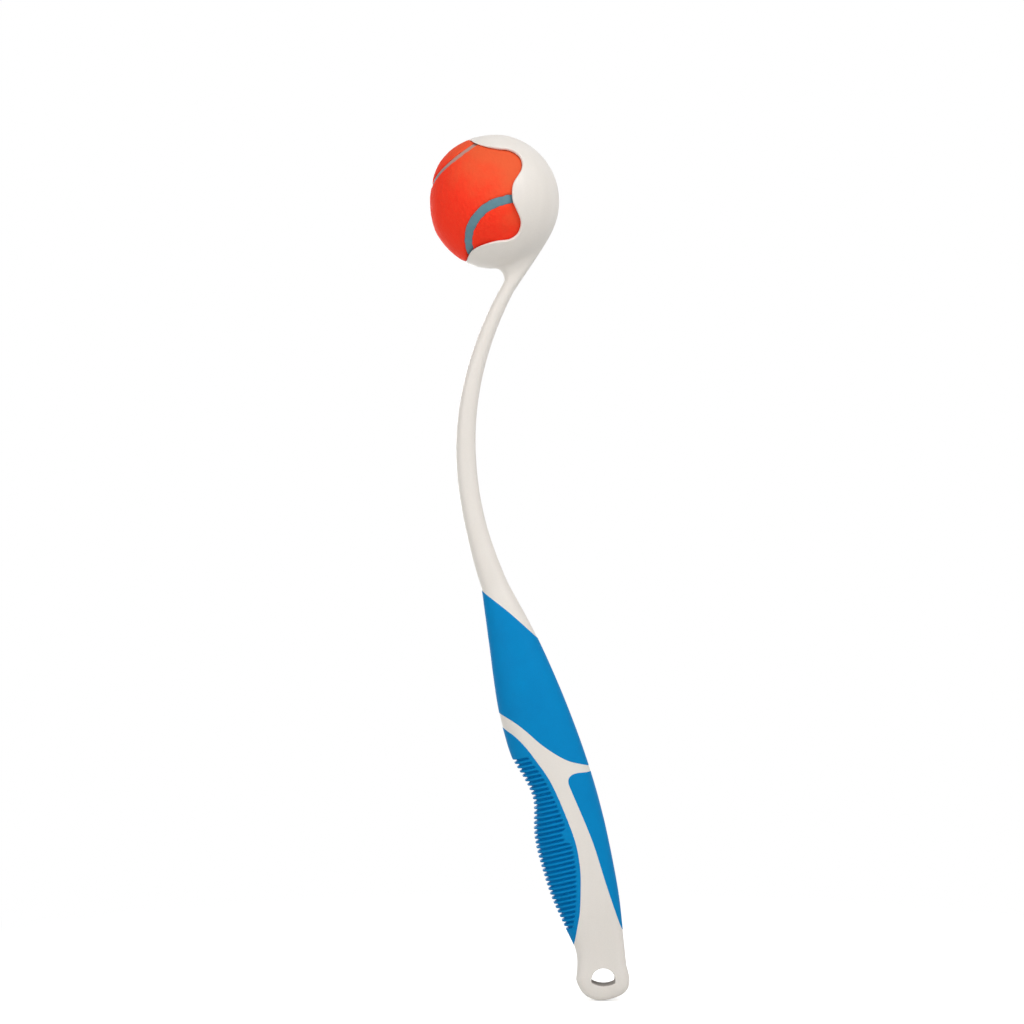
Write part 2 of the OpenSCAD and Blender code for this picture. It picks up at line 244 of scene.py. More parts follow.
# %% Rows of the handle, one for every half millimetre
def to_stick(v, y, u):
    """Points given across (v), aside of (y) and along (u) the handle, in the stick's place."""
    return np.stack([v * np.cos(lean) - u * np.sin(lean), y, v * np.sin(lean) + u * np.cos(lean)], -1)


def on_handle(points):
    """Where points lie across (v) and along (u) the handle."""
    x, z = points[..., 0], points[..., 2]
    return x * np.cos(lean) + z * np.sin(lean), z * np.cos(lean) - x * np.sin(lean)


handle_u = np.arange(-handle_tail, handle_top, 0.5)
spot = np.where(handle_u > 0, handle_u / handle_top, handle_u / handle_tail)
left, right = smooth_at(left_edge, spot) * handle_w, smooth_at(right_edge, spot) * handle_w
mid_x, _, mid_z = to_stick((left + right) / 2, 0 * handle_u, handle_u).T
handle_rows = np.stack([
    mid_x, mid_z, np.full_like(handle_u, lean),
    (right - left) / 2, smooth_at(half_depth, spot) * handle_t, smooth_at(squareness, spot),
], 1)
print(len(handle_rows), "rows: x, z, tilt, half width, half depth, squareness")

# %% Rows of the bowed shaft and of the neck
bow_foot_x, bow_foot_z, bow_shift, bow_rise, bow_sag, bow_skew = -39.464, 129.124, 6.4, 155.4, 18.6, 0.15
# The photograph's shaft lies a little further back than an even bow
bow_back = [(0, 0), (0.15, 0.25), (0.5, 0.3), (0.75, 0.5), (0.9, 0.4), (1, 0.15)]
shaft_w = [(0, 13.91), (0.2, 11.2), (0.45, 10.35), (0.7, 8.9), (0.88, 7.75), (1, 7.05)]
shaft_t = [(0, 12.96), (0.25, 11), (0.55, 11), (1, 10)]
shaft_square, neck_lean, neck_w, neck_t = 2.3, math.radians(33), 7.0, 10.0
f = np.linspace(0, 1, 341)
sag = bow_sag * 4 * f * (1 - f) * (1 + bow_skew * (f - 0.5))
bow_x = bow_foot_x + bow_shift * f - sag + smooth_at(bow_back, f)
bow = np.stack([bow_x, bow_foot_z + bow_rise * f], 1)
aim = np.gradient(bow, axis=0)
bow_rows = np.stack([
    bow[:, 0], bow[:, 1], np.arctan2(-aim[:, 0], aim[:, 1]),
    smooth_at(shaft_w, f) / 2, smooth_at(shaft_t, f) / 2, np.full_like(f, shaft_square),
], 1)
neck_dir = np.array([math.sin(neck_lean), math.cos(neck_lean)])
neck_rows = np.array([
    [*(bow[-1] + s * neck_dir), -neck_lean, neck_w / 2, neck_t / 2, shaft_square] for s in (0.4, 0.8)
])
print("shaft, mm wide:", shaft_w[0][1], "at the handle,", shaft_w[-1][1], "at the neck")

# %% All rows as one smooth stick
def path_length(points):
    """Lengths along a line of points, or along many, from 0 at the first point."""
    step = np.linalg.norm(np.diff(points, axis=-2), axis=-1)
    return np.concatenate([np.zeros_like(step[..., :1]), np.cumsum(step, axis=-1)], -1)


rows = np.concatenate([handle_rows, bow_rows, neck_rows])
blur, blur_width = 12, 4
bell = np.exp(-0.5 * (np.arange(-blur, blur + 1) / blur_width) ** 2)
padded = np.pad(rows, ((blur, blur), (0, 0)), mode="reflect", reflect_type="odd")
stations = np.stack([np.convolve(column, bell / bell.sum(), "valid") for column in padded.T], 1)
runs = np.concatenate([handle_u, handle_top + path_length(rows[len(handle_u) :, :2])])
print(len(runs), "stations, from", runs[0], "to", round(runs[-1], 1), "mm along the stick")

# %% A point on the stick's skin
def signed_power(x, power):
    """A power of x that keeps its sign."""
    return np.sign(x) * np.abs(x) ** power


def skin(run, turn):
    """Points on the moulding and the directions out of it; turn 0 is the palm side, pi the finger side."""
    x, z, tilt, half_w, half_d, power = (np.interp(run, runs, column) for column in stations.T)
    c, s = np.cos(turn), np.sin(turn)
    v, y = half_w * signed_power(c, 2 / power), half_d * signed_power(s, 2 / power)
    nv, ny = signed_power(c, 2 - 2 / power) / half_w, signed_power(s, 2 - 2 / power) / half_d
    size = np.hypot(nv, ny)
    out = np.stack([nv / size * np.cos(tilt), ny / size, nv / size * np.sin(tilt)], -1)
    return np.stack([x + v * np.cos(tilt), y, z + v * np.sin(tilt)], -1), out


def even_turns(run, count):
    """Turns that lie evenly round the stick at this run."""
    turn = np.linspace(0, 2 * np.pi, 1441)
    length = path_length(skin(np.full_like(turn, run), turn)[0])
    return np.interp(np.arange(count) / count * length[-1], length, turn)


print("middle of the grip, front face:", skin(np.array([0.0]), np.array([1.5 * np.pi]))[0].round(1))

# %% [markdown]
# ## Outlines of the rubber pads
# Each pad is a shape drawn on the side of the handle and wrapped round it. The finger pad has deep grooves, so the
# plastic under it has to lie lower, as on a real two-material moulding, where the first shot leaves a pocket.

# %% Pad outlines
def curve(points, steps=40):
    """A smooth line through a list of points in the plane."""
    p = np.array(points, float)
    p = np.concatenate([p[:1], p, p[-1:]])
    s = np.arange(steps)[:, None] / steps
    parts = [
        b + 0.5 * s * (c - a) + s**2 * (a - 2.5 * b + 2 * c - 0.5 * d) + 0.5 * s**3 * (3 * b - a - 3 * c + d)
        for a, b, c, d in zip(p[:-3], p[1:-2], p[2:-1], p[3:])
    ]
    return np.concatenate(parts + [p[-1:]])


def pad_line(pairs):
    """An outline given as (place, share of the width), as points (v, u) in mm."""
    return curve([
        (share * handle_w, place * (handle_top if place > 0 else handle_tail)) for place, share in pairs
    ])


finger_line = pad_line([
    (0.52, -0.66), (0.458, -0.48), (0.417, -0.36), (0.366, -0.258), (0.303, -0.168), (0.234, -0.08),
    (0.16, -0.027), (0.074, 0.011), (-0.02, 0.037), (-0.13, 0.033), (-0.253, 0), (-0.36, -0.053),
    (-0.53, -0.16), (-0.62, -0.24), (-0.755, -0.375), (-0.87, -0.52),
])
palm_line = pad_line([
    (0.202, 0.66), (0.209, 0.49), (0.219, 0.34), (0.219, 0.25), (0.21, 0.193), (0.194, 0.168), (0.167, 0.172),
    (0.033, 0.233), (-0.13, 0.269), (-0.37, 0.28), (-0.6, 0.3), (-0.735, 0.322), (-0.83, 0.378),
])
sleeve_top = pad_line([
    (1.05, -0.36), (0.988, -0.23), (0.884, 0.04), (0.763, 0.309), (0.69, 0.46), (0.6, 0.62),
])
sleeve_low = pad_line([
    (0.19, 0.7), (0.231, 0.5), (0.27, 0.267), (0.311, 0.107), (0.365, -0.053), (0.422, -0.187),
    (0.467, -0.307), (0.517, -0.48), (0.57, -0.7),
])
print("finger pad from", finger_line[-1, 1].round(1), "to", finger_line[0, 1].round(1), "mm along the handle")

# %% Inside and outside of the finger pad
def ramp(x, low, high):
    """0 below low, 1 above high, and smooth between."""
    s = np.clip((x - low) / (high - low), 0, 1)
    return s * s * (3 - 2 * s)


def nearest(points, line):
    """How far each point is from the nearest point of a line."""
    parts = np.array_split(points.reshape(-1, points.shape[-1]), 60)
    gaps = [np.sqrt(((part[:, None] - line) ** 2).sum(2).min(1)) for part in parts]
    return np.concatenate(gaps).reshape(points.shape[:-1])


def inside_finger(points):
    """How far points lie inside the finger pad's outline, in mm, seen from the side."""
    v, u = on_handle(points)
    gap = nearest(np.stack([v, u], -1), finger_line)
    edge = np.interp(u, finger_line[::-1, 1], finger_line[::-1, 0])
    return np.where(v < edge, gap, -gap)


grip_left = to_stick(left[handle_u == 0], np.zeros(1), np.zeros(1))
print("finger pad, mm wide at the grip:", inside_finger(grip_left).round(1))

# %% [markdown]
# ## The stick
# The stick is a loft: one closed ring, extruded again and again while each new ring takes the next cross-section.
# By hand that is a circle, E to extrude, then move and scale. It starts at the hanging end, which closes like a
# rounded box, runs up the handle and the bowed shaft, and ends in a skirt that flows onto the cup.

# %% Rings of the hanging end
round_n = 96
tail_round, tail_drift, tail_power, tail_depth = 14.5, 1.85, 2.65, 0.4
end_ring = skin(np.full(round_n, -handle_tail), even_turns(-handle_tail, round_n))[0]
end_v, end_y = on_handle(end_ring)[0], end_ring[:, 1]
end_mid = (end_v.max() + end_v.min()) / 2
rings = []
for angle in [90, 88.5, *np.linspace(86, 4, 22)]:
    s = math.sin(math.radians(angle))
    w = max(0.0, 1 - s**tail_power) ** (1 / tail_power) if angle < 90 else 0.0
    v = end_mid + (end_v - end_mid) * w + tail_drift * s**2
    rings.append(to_stick(v, end_y * w**tail_depth, -handle_tail - tail_round * s))
print("hanging end, mm wide:", np.ptp(end_v).round(1))

# %% Rings of the handle and the shaft
pocket_top, shaft_start = 68, 150
pocket_depth, pocket_wall = 2.4, (0.6, 2.2)
for run in [
    *np.arange(-handle_tail, pocket_top, 1.0), *np.arange(pocket_top, shaft_start, 1.6),
    *np.arange(shaft_start, runs[-1] - 2, 2.2), runs[-1],
]:
    turns = even_turns(run, round_n)
    ring, out = skin(np.full(round_n, run), turns)
    if run < pocket_top:
        ring = ring - out * (pocket_depth * ramp(inside_finger(ring), *pocket_wall))[:, None]
    rings.append(ring)
print(len(rings), "rings of", round_n, "points")

# %% The skirt that flows onto the cup
cup_mid, cup_r = np.array([-40.776, 0, 330.669]), 35.1
foot_mid, foot_long, foot_wide = -55.9, 31.9, 18.0
skin_gap, tuck, sunk = 0.02, 0.5, 0.9


def unit(vectors):
    """The same directions, one long."""
    return vectors / np.linalg.norm(vectors, axis=-1, keepdims=True)


def on_cup(around, aside, radius):
    """A point on a ball about the cup's middle: degrees round it in the stick's plane, and out of that plane."""
    a, b = np.radians(around), np.radians(aside)
    out = np.stack([np.cos(b) * np.cos(a), np.sin(b), np.cos(b) * np.sin(a)], -1)
    return cup_mid + out * np.expand_dims(radius, -1)


def foot_ring(share, radius):
    """A ring of this share of the skirt's foot, which is an oval on the cup."""
    return on_cup(foot_mid + share * foot_long * np.cos(turns), share * foot_wide * np.sin(turns), radius)


root, foot = rings[-1], foot_ring(1.0, cup_r + skin_gap)
flow = unit(foot_ring(1.02, cup_r + skin_gap) - foot)
chord = np.linalg.norm(foot - root, axis=1, keepdims=True)
front = (1 - np.cos(turns)[:, None]) / 2
# The front of the skirt sweeps wider than its back
leave = np.array([neck_dir[0], 0, neck_dir[1]]) * chord * (1 + 0.25 * front)
arrive = flow * chord * (0.7 + 0.55 * front)
rings += [hermite(t, root, leave, foot, arrive) for t in np.linspace(0, 1, 19)[1:]]
# Its foot tucks in under the cup's skin and closes inside the wall
rings.append(foot_ring(1.03, cup_r - tuck))
rings += [foot_ring(share, cup_r - sunk) for share in (1.0, 0.75, 0.5, 0.25, 0)]
print("skirt's foot on the cup, mm:", np.ptp(foot, axis=0).round(1))

# %% Close a mesh
merge_gap, sliver = 0.004 * MM, 0.001 * MM


def pick(piece):
    """Select only this piece, and make it active."""
    bpy.ops.object.select_all(action="DESELECT")
    piece.select_set(True)
    bpy.context.view_layer.objects.active = piece


def close_up(piece):
    """Merge doubles, turn all faces outwards and shade smooth."""
    pick(piece)
    bpy.ops.object.mode_set(mode="EDIT")
    bpy.ops.mesh.select_all(action="SELECT")
    bpy.ops.mesh.remove_doubles(threshold=merge_gap)
    bpy.ops.mesh.dissolve_degenerate(threshold=sliver)
    bpy.ops.mesh.normals_make_consistent(inside=False)
    bpy.ops.object.mode_set(mode="OBJECT")
    bpy.ops.object.shade_smooth()
    return piece


def measured(piece):
    """A piece's name, faces and size, to print."""
    return f"{piece.name}: {len(piece.data.polygons)} faces, {[round(d / MM, 1) for d in piece.dimensions]} mm"


print("points merge when closer than, mm:", round(merge_gap / MM, 4))

# %% Loft the stick
def loft(name, rings):
    """Extrude a circle once for each ring, and put every new ring on its place."""
    count = len(rings[0])
    bpy.ops.mesh.primitive_circle_add(vertices=count, radius=10 * MM)
    piece = bpy.context.object
    piece.name = piece.data.name = name
    piece.data.attributes.new("spoke", "INT", "POINT").data.foreach_set("value", np.arange(count))
    bpy.ops.object.mode_set(mode="EDIT")
    bpy.ops.mesh.select_all(action="SELECT")
    for _ in rings[1:]:
        bpy.ops.mesh.extrude_edges_indiv()
    bpy.ops.object.mode_set(mode="OBJECT")
    spoke = np.empty(len(piece.data.vertices), np.int32)
    piece.data.attributes["spoke"].data.foreach_get("value", spoke)
    places = np.array(rings)[np.arange(len(spoke)) // count, spoke]
    piece.data.vertices.foreach_set("co", (places * MM).ravel())
    piece.data.attributes.remove(piece.data.attributes["spoke"])
    return close_up(piece)


stick = loft("launcher_stick", rings)
print(measured(stick))

# %% [markdown]
# ## The hanging hole
# The hole in the handle's end is an arch on short straight sides, over a gently curved sill, and its edges are
# rounded on both faces. A bevel on a cut edge of a dense mesh gets untidy, so the cutter itself carries the round:
# it flares where it leaves the plastic. Rays measure how thick the plastic is all round the outline.

# %% Outline of the hole
half_hole, hole_side, hole_sag, hole_turn, hole_n = 6.2, 1.5, 1.7, math.radians(-18), 88


def evenly(line, count):
    """The same line through this many points, evenly spaced along it."""
    length = path_length(line)
    return np.stack([np.interp(np.linspace(0, length[-1], count), length, k) for k in line.T], 1)


sill_r = (half_hole**2 + hole_sag**2) / (2 * hole_sag)
sill_mid, sill = sill_r - hole_sag - hole_side, math.asin(half_hole / sill_r)
arch = [(half_hole * math.cos(a), half_hole * math.sin(a)) for a in np.linspace(0, np.pi, 120, endpoint=False)]
sag = [(sill_r * math.sin(a), sill_mid - sill_r * math.cos(a)) for a in np.linspace(-sill, sill, 120)]
hole = evenly(np.array(arch + [(-half_hole, 0)] + sag + arch[:1]), hole_n + 1)[:-1]
for _ in range(2):
    hole = (np.roll(hole, 1, 0) + 2 * hole + np.roll(hole, -1, 0)) / 4
c, s = math.cos(hole_turn), math.sin(hole_turn)
hole = hole @ np.array([[c, s], [-s, c]])
along = unit(np.roll(hole, -1, 0) - np.roll(hole, 1, 0))
outward = np.stack([along[:, 1], -along[:, 0]], 1)
print("hole in mm:", np.ptp(hole, axis=0).round(1))

# %% A flared cutter
edge_r, hole_below, well_out, cutter_end = 0.35, 3.5, 40.0, 30.0
hole_at = np.array([(left[0] + right[0]) / 2, -handle_tail - hole_below])


def hole_ring(spread, y):
    """The outline spread outwards, at these depths, in the stick's place."""
    v, u = (hole_at + hole + outward * spread).T
    return to_stick(v, y + 0 * v, u)


rays = [stick.ray_cast(Vector(p * MM), Vector((0, 1, 0))) for p in hole_ring(edge_r, -well_out)]
thick = np.array([-hit[1].y / MM for hit in rays])
# From a point well outside, the cutter grows to its flare and follows the round edge to the straight wall
cutter_tip = hole_ring(0, -cutter_end).mean(0)
cut_rings = [np.tile(cutter_tip, (hole_n, 1)), hole_ring(edge_r * 0.75, -thick - 4)]
for a in np.radians([74, 60, 45, 30, 15, 0]):
    cut_rings.append(hole_ring(edge_r * (1 - math.cos(a)), -(thick - edge_r + edge_r * math.sin(a))))
cutter = loft("hole_cutter", cut_rings + [ring * [1, -1, 1] for ring in cut_rings[::-1]])
print("plastic at the hole, mm thick:", (2 * thick).round(1).min(), "to", (2 * thick).round(1).max())

# %% Cut the hole and mark its wall
hole_reach = 7.0
pick(stick)
cut = stick.modifiers.new("hanging_hole", "BOOLEAN")
cut.operation, cut.solver, cut.object = "DIFFERENCE", "EXACT", cutter
bpy.ops.object.modifier_apply(modifier=cut.name)
bpy.data.objects.remove(cutter)
bpy.ops.object.shade_smooth_by_angle(angle=math.radians(40))
# The wall's faces are marked, so that the material can paint shade on them and make them duller
wall_mark = stick.data.attributes.new("hole_wall", "FLOAT", "FACE")
for face in stick.data.polygons:
    v, u = on_handle(np.array(face.center) / MM)
    if abs(face.normal.y) < 0.5 and math.hypot(v - hole_at[0], u - hole_at[1]) < hole_reach:
        wall_mark.data[face.index].value = 1.0
print("faces in the hole's wall:", int(sum(mark.value for mark in wall_mark.data)))

# %% [markdown]
# ## The cup
# The cup is a thin shell with two lips that reach round the ball; the upper one springs when the ball snaps in.
# Its rim is an outline seen from the side, laid onto a ball. A grid is pulled over that ball like cloth, in strips
# from the spine of the cup to the rim, round the rim's soft edge, and back along the inside, so the wall is closed.

# %% The rim on the ball, in shares of the cup's radius
rim_n, rim_lift, tip = 170, 0.028, 13 / cup_r
rim_half = [
    (0.305, 0), (0.319, 0.128), (0.376, 0.256), (0.43, 0.379), (0.433, 0.484), (0.376, 0.59), (0.256, 0.661),
    (0.066, 0.687), (-0.3 * tip, 0.724), (-0.65 * tip, 0.769), (-0.87 * tip, 0.826), (-1.05 * tip, 0.94),
    (-1.2 * tip, 1.08),
]
rim = curve([(x, -z) for x, z in rim_half[:0:-1]] + rim_half) + [0, rim_lift]
# The photograph's rim opens a little wider than that, most of all at the upper lip
z = rim[:, 1]
rim = rim + np.stack([0.02 * ramp(z, 0.2, 0.4), 0.018 * (ramp(z, 0.3, 0.55) - ramp(-z, 0.4, 0.6))], 1)
reach = np.hypot(*rim.T)
inner = np.flatnonzero(reach < 1)
ends = []
for i, j in ((inner[0], inner[0] - 1), (inner[-1], inner[-1] + 1)):
    ends.append(rim[i] + (1 - reach[i]) / (reach[j] - reach[i]) * (rim[j] - rim[i]))
rim = np.concatenate([[ends[0]], rim[inner], [ends[1]]])
rim_y = np.sqrt(np.maximum(0, 1 - (rim**2).sum(1)))
rim_y[[0, -1]] = 0
half_loop = np.stack([rim[:, 0], -rim_y, rim[:, 1]], 1)
rim_length = 2 * path_length(half_loop)[-1] * cup_r
half_loop = evenly(half_loop, rim_n)
loop = unit(np.concatenate([half_loop, (half_loop * [1, -1, 1])[-2:0:-1]]))
print("rim, mm round:", round(rim_length, 1), "in", len(loop), "points")

# %% Strips from the spine to the rim
wall_t, tip_t, thinning, spine_end = 1.8, 0.55, (78, 110), 94
lip_in, lip_range = 0.6, (72, 100)
around, aside = np.degrees(np.arctan2(loop[:, 2], loop[:, 0])), np.degrees(np.arcsin(loop[:, 1]))
home = np.clip(around, -spine_end, spine_end)


def strips_at(share):
    """Degrees round the cup and aside, at these shares of the way from the spine to the rim."""
    return home[:, None] + (around - home)[:, None] * share, aside[:, None] * share


def edge_frame(loop, out, inward):
    """Directions across a closed outline, towards the piece."""
    along = unit(np.roll(loop, -1, 0) - np.roll(loop, 1, 0))
    across = unit(np.cross(out, along))
    return across * np.sign((across * inward).sum(1, keepdims=True))


share = np.linspace(0, 1, 34)
strip_around, strip_aside = strips_at(share)
wall = wall_t - (wall_t - tip_t) * ramp(np.abs(strip_around), *thinning)
outer_r = cup_r - lip_in * ramp(strip_around, *lip_range)
inner_r = outer_r - wall
inward = on_cup(strip_around[:, -2], strip_aside[:, -2], 1.0) - on_cup(around, aside, 1.0)
across = edge_frame(loop, loop, inward)
print("wall at the back and at the tips, mm:", wall.max().round(2), wall.min().round(2))

# %% Round the rim and back along the inside
rim_r = 0.42 * wall[:, -1:]
# The strips stop short of the rim, and leave room for its round
slant = np.clip(np.abs((across * unit(inward)).sum(1)), 0.35, 1)
span = np.radians(np.hypot(around - home, aside)).clip(0.12) * cup_r
keep = 1 - 1.25 * rim_r[:, 0] / slant / span
strip_around, strip_aside = strips_at(share * keep[:, None])
outside, inside = on_cup(strip_around, strip_aside, outer_r), on_cup(strip_around, strip_aside, inner_r)
quarter = np.radians([0, 18, 36, 54, 72, 90])
rim_strip = [
    cup_mid + loop * (start + way * rim_r * (1 - math.cos(q))) + across * rim_r * (1 - math.sin(q))
    for start, way, turn_in in ((outer_r[:, -1:], -1, quarter), (inner_r[:, -1:], 1, quarter[::-1]))
    for q in turn_in
]
cup_rows = np.concatenate([outside, np.stack(rim_strip, 1), inside[:, ::-1]], 1)
print("the rim's round, mm:", rim_r.min().round(2), "to", rim_r.max().round(2))

# %% Lay the grid on the cup
def drape(name, rows, closed=True):
    """Add a grid and lay its points on rows of places; when closed, the last row joins the first."""
    rows = np.concatenate([rows, rows[:1]]) if closed else rows
    down, across = rows.shape[0] - 1, rows.shape[1] - 1
    bpy.ops.mesh.primitive_grid_add(x_subdivisions=across, y_subdivisions=down, size=0.1)
    piece = bpy.context.object
    piece.name = piece.data.name = name
    at = np.empty(len(piece.data.vertices) * 3)
    piece.data.vertices.foreach_get("co", at)
    at = at.reshape(-1, 3).round(6)
    order = np.lexsort((at[:, 0], at[:, 1]))
    at[order] = rows.reshape(-1, 3) * MM
    piece.data.vertices.foreach_set("co", at.ravel())
    return close_up(piece)


cup = drape("throwing_cup_shell", cup_rows)
print(measured(cup))

# %% [markdown]
# ### Polypropylene
# Polypropylene is the usual plastic of such a launcher, because a thin lip of it bends thousands of times. Moulded
# in a lightly spark-eroded tool it has a satin skin: soft highlights, a very fine grain, faint flow marks along the
# stick, and a hair of a parting line where the two tool halves met, in the stick's plane. The wall of the hanging
# hole is duller, and it is painted a darker grey: painted shade, for the shade that falls inside the hole.

# %% Start a finish
def new_finish(name):
    """A new material, with its node tree, its shader and the place on the object that patterns read."""
    finish = bpy.data.materials.new(name)
    finish.use_nodes = True
    tree = finish.node_tree
    return finish, tree, tree.nodes["Principled BSDF"], add_node(tree, "TexCoord", out="Object")


def dress(piece, finish):
    """Give a piece this material only."""
    piece.data.materials.clear()
    piece.data.materials.append(finish)


def flecked(tree, tint, grain, darkest):
    """A tint with fine flecks, darkest in the hollows of the grain."""
    fleck = add_node(tree, "MapRange", {0: grain, 1: 0.3, 2: 0.7, 3: darkest, 4: 1.0})
    both = {0: 1.0, 6: tint, 7: fleck}
    return add_node(tree, "Mix", both, blend_type="MULTIPLY", **COLOUR)


print("materials so far:", [finish.name for finish in bpy.data.materials])

# %% Moulded polypropylene: colour and gloss
plastic, tree, shader, place = new_finish("moulded_polypropylene")
# A noise of scale 1000 / 9 has marks 9 mm wide, and the mapping draws them out along the stick
along_stick = add_node(tree, "Mapping", {"Vector": place, "Scale": (1, 1, 0.12)})
flow_marks = add_node(
    tree, "TexNoise", {"Vector": along_stick, "Scale": 1000 / 9, "Detail": 3.0, "Roughness": 0.55}
)
# The grain of the tool is about 0.2 mm and is drawn at 0.7 mm, so that it shows
grain = add_node(tree, "TexNoise", {"Vector": place, "Scale": 1000 / 0.7, "Detail": 2.0, "Roughness": 0.6})
tint = add_node(tree, "Mix", {0: flow_marks, 6: linear("#ECE6DF"), 7: linear("#E3DDD6")}, **COLOUR)
tint = flecked(tree, tint, grain, 0.97)
in_hole = add_node(tree, "Attribute", out="Fac", attribute_name="hole_wall")
# Painted shade: the hole's wall is tinted a darker grey than the faces, for the shade inside the hanging hole
tint = add_node(tree, "Mix", {0: in_hole, 6: tint, 7: linear("#AFA8A2")}, **COLOUR)
gloss = add_node(tree, "MapRange", {0: flow_marks, 1: 0.3, 2: 0.7, 3: 0.36, 4: 0.5})
gloss = add_node(tree, "Mix", {0: in_hole, 2: gloss, 3: 0.95}, data_type="FLOAT")
print("colour and gloss take", len(tree.nodes), "nodes")

# %% Moulded polypropylene: parting line and grain
depth = add_node(tree, "SeparateXYZ", {0: place}, out="Y")
from_plane = add_node(tree, "Math", {0: depth}, operation="ABSOLUTE")
crest = {0: from_plane, 2: 0.25 * MM, 3: 1.0, 4: 0.0}
parting = add_node(tree, "MapRange", crest, interpolation_type="SMOOTHSTEP")
seam_bump = add_node(tree, "Bump", {"Height": parting, "Strength": 0.35, "Distance": 0.1 * MM})
grain_bump = {"Height": grain, "Strength": 0.25, "Distance": 0.04 * MM, "Normal": seam_bump}
bump = add_node(tree, "Bump", grain_bump)
feed(tree, shader, {
    "Base Color": tint, "Roughness": gloss, "Normal": bump, "IOR": 1.49,
    "Subsurface Weight": 0.06, "Subsurface Radius": (1.2 * MM, 1.0 * MM, 0.8 * MM), "Subsurface Scale": 1.0,
})
for piece in (stick, cup):
    dress(piece, plastic)
print(plastic.name, "has", len(tree.nodes), "nodes")

# %% The moulding's parts take their places
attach(stick, "launcher")
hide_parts("shaft", "handle_core")
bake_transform(cup)
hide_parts("throwing_cup", "cup_upper_lip")

# %% [markdown]
# ## The rubber pads
# The pads are the second shot of the moulding: soft rubber about 2 mm thick that sits in pockets of the plastic
# and stands a hair proud, with a small round edge. Each is a grid of strips again: from the middle of the pad's
# underside out to its outline, up over the round edge, and back along the top to the middle.

# %% The round edge of a pad
proud, pad_edge, pad_skirt, pad_sunk = 0.12, 0.4, 0.7, 1.4
strip_share = np.linspace(0, 1, 240)
edge_profile = [(0.0, -pad_skirt), (0.0, -pad_skirt / 2)] + [
    (pad_edge * (1 - math.cos(a)), proud - pad_edge + pad_edge * math.sin(a))
    for a in np.radians([0, 15, 30, 45, 60, 75, 90])
]


def edge_strip(loop, out, inward):
    """The round edge along an outline, and how far in from the outline the top begins on each strip."""
    across = edge_frame(loop, out, inward)
    edge = np.stack([loop + across * d + out * h for d, h in edge_profile], 1)
    slant = (across * inward).sum(1) / np.linalg.norm(inward, axis=1).clip(1e-9)
    return edge, 1.15 * pad_edge / np.abs(slant).clip(0.3)


def shares_at(want, length):
    """The shares of each strip at which it has these lengths."""
    return np.stack([np.interp(w, l, strip_share) for w, l in zip(want, length)])


print("edge profile of a pad, mm in and up:", np.round(edge_profile, 2).tolist())

# %% Walk round a pad
def pad_outline(line, end_turn, spacing):
    """Walk an outline on the front of the handle, from end to end, and return along the back."""
    run = line[:, 1]
    x, z, _, half_w, _, power = (np.interp(run, runs, column) for column in stations.T)
    mid = on_handle(np.stack([x, 0 * x, z], 1))[0]
    ratio = (line[:, 0] - mid) / half_w
    good = np.flatnonzero(np.abs(ratio) < 1)
    walk = np.arange(good[0] - 1, good[-1] + 2)
    ratio, run = np.clip(ratio[walk], -1, 1), run[walk]
    turn = 2 * np.pi - np.arccos(signed_power(ratio, power[walk] / 2))
    length = path_length(skin(run, turn)[0])
    even = np.linspace(0, length[-1], int(length[-1] / spacing))
    run, turn = np.interp(even, length, run), np.interp(even, length, turn)
    turn[[0, -1]] = end_turn
    return np.concatenate([run, run[-2:0:-1]]), np.concatenate([turn, 2 * np.pi - turn[-2:0:-1]])


finger_run, finger_turn = pad_outline(finger_line, np.pi, 0.3)
palm_run, palm_turn = pad_outline(palm_line, 2 * np.pi, 0.7)
print("points in the outlines of the finger and palm pads:", len(finger_run), len(palm_run))

# %% Strips of one pad
def pad_strips(run, turn, home_run, home_turn, count, press):
    """Strips over a pad whose outline is given by run and turn, towards its middle line."""

    def strip_skin(s):
        """The moulding under these shares of the way from the outline to the middle line."""
        return skin(run[:, None] + (home_run - run)[:, None] * s, turn[:, None] + (home_turn - turn)[:, None] * s)

    path = strip_skin(strip_share)[0]
    length = path_length(path)
    edge, inset = edge_strip(*skin(run, turn), path[:, 3] - path[:, 0])
    whole = length[:, -1:]
    first = np.minimum(inset[:, None], 0.5 * whole)
    want = first + (whole - first) * np.linspace(0, 1, count)
    top, top_out = strip_skin(shares_at(want, length))
    top = top + top_out * (proud - press(top))[..., None]
    # The underside reaches its full depth 2.4 mm inside the outline
    want = whole * np.linspace(1, 0.06, 9)
    under, under_out = strip_skin(shares_at(want, length))
    under = under - under_out * (pad_skirt + pad_sunk * ramp(want, 0.4, 2.4))[..., None]
    return np.concatenate([under, edge, top], 1)


print("each strip is measured at", len(strip_share), "places")

# %% [markdown]
# ### The finger pad
# Thirty-seven narrow grooves run round the finger side and stop short of the pad's outline, so the ribs end in a
# plain margin. They could be cut with an array of small bars; pressing them into the strips keeps the surface one
# clean sheet, and gives each groove soft shoulders and a round end.

# %% Finger pad with its grooves
pitch, groove_depth, groove_wall, groove_slope = 2.532, 1.8, (0.12, 0.95), math.tan(math.radians(1.5))
top_groove, row_low, row_high = 43.55, (-49.1, -48.7), (44.6, 45.0)
margin_wall, finger_home = (2.1, 3.3), (-44, 50)
# A few grooves near the middle of the row are shorter
short_at, short_by, short_reach = -0.76, 3.0, (2.4, 4.8)


def grooves(points):
    """How deep the grooves press into the pad at these points."""
    v, u = on_handle(points)
    g = u + groove_slope * v
    away = np.abs((g - top_groove + pitch / 2) % pitch - pitch / 2)
    row = ramp(g, *row_low) * (1 - ramp(g, *row_high))
    margin = inside_finger(points) - short_by * (1 - ramp(np.abs(g - short_at), *short_reach))
    return groove_depth * (1 - ramp(away, *groove_wall)) * ramp(margin, *margin_wall) * row


